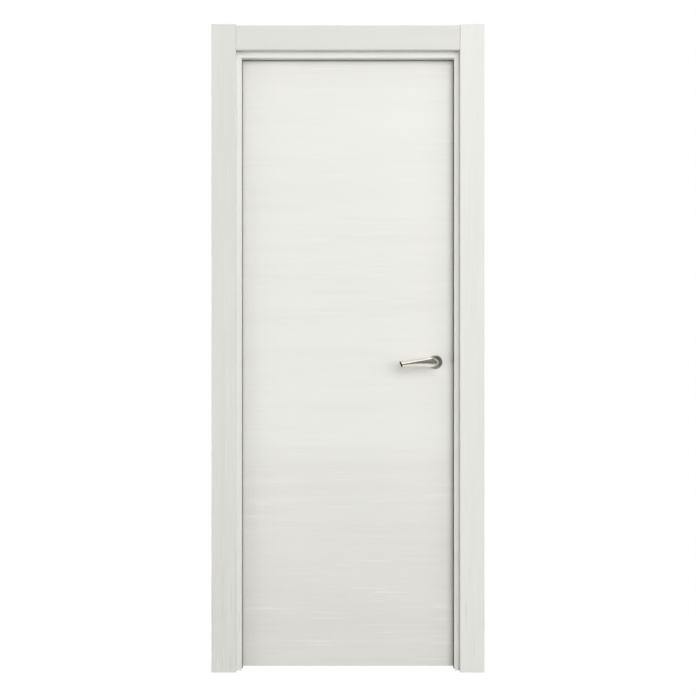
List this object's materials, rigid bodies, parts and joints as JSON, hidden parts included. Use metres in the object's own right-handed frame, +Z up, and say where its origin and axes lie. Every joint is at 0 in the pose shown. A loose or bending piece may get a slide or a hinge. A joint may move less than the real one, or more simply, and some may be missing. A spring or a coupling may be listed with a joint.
{
  "type": "interior door",
  "caption": "Flush white wood-grain door leaf in a rebated frame with flat casings on both sides, side hinges, a spring latch and lever handles.",
  "frame": {"origin": "on the outer (wall) face of the hinge jamb, at floor level, midway through the wall's thickness", "axes": "+X from the hinge jamb to the lock jamb, -Y out of the push face that the picture shows, +Z up"},
  "size_m": [0.9205, 0.15, 2.136],
  "materials": {
    "white_laminate": "satin off-white wood-grain laminate",
    "core": "unseen filling board",
    "satin_nickel": "satin nickel plate",
    "hinge_steel": "satin nickel plate",
    "plain_steel": "plain steel",
    "dark_cap": "glossy black",
    "seal": "grey extruded seal"
  },
  "bodies": {
    "frame": {"hinge_jamb": "white_laminate", "lock_jamb": "white_laminate", "head_jamb": "white_laminate", "strike_plate": "hinge_steel", "hinge_side_seal": "seal", "hinge_side_front_casing": "white_laminate", "hinge_side_rear_casing": "white_laminate", "lock_side_seal": "seal", "lock_side_front_casing": "white_laminate", "lock_side_rear_casing": "white_laminate", "head_seal": "seal", "head_front_casing": "white_laminate", "head_rear_casing": "white_laminate", "bottom_hinge_frame_half": "hinge_steel", "middle_hinge_frame_half": "hinge_steel", "top_hinge_frame_half": "hinge_steel"},
    "leaf": {"push_face_skin": "white_laminate", "pull_face_skin": "white_laminate", "hinge_stile": "white_laminate", "lock_stile": "white_laminate", "top_rail": "white_laminate", "bottom_rail": "white_laminate", "leaf_core": "core", "latch_forend": "hinge_steel", "latch_bolt": "plain_steel", "push_rosette": "satin_nickel", "pull_rosette": "satin_nickel", "bottom_hinge_leaf_half": "hinge_steel", "middle_hinge_leaf_half": "hinge_steel", "top_hinge_leaf_half": "hinge_steel"},
    "handle": {"push_lever": "satin_nickel", "pull_lever": "satin_nickel", "push_lever_cap": "dark_cap", "pull_lever_cap": "dark_cap", "spindle": "plain_steel"}
  },
  "joints": [
    {"name": "leaf_swing", "type": "hinge", "parent": "frame", "child": "leaf", "pos_m": [0.0265, 0.0385, 0], "axis": [0, 0, 1], "range_deg": [0, 120]},
    {"name": "handle_turn", "type": "hinge", "parent": "leaf", "child": "handle", "pos_m": [0.684, 0.012, 1.018], "axis": [0, -1, 0], "range_deg": [0, 40], "stiffness_Nm_per_rad": 2, "springref_deg": -17.19}
  ]
}
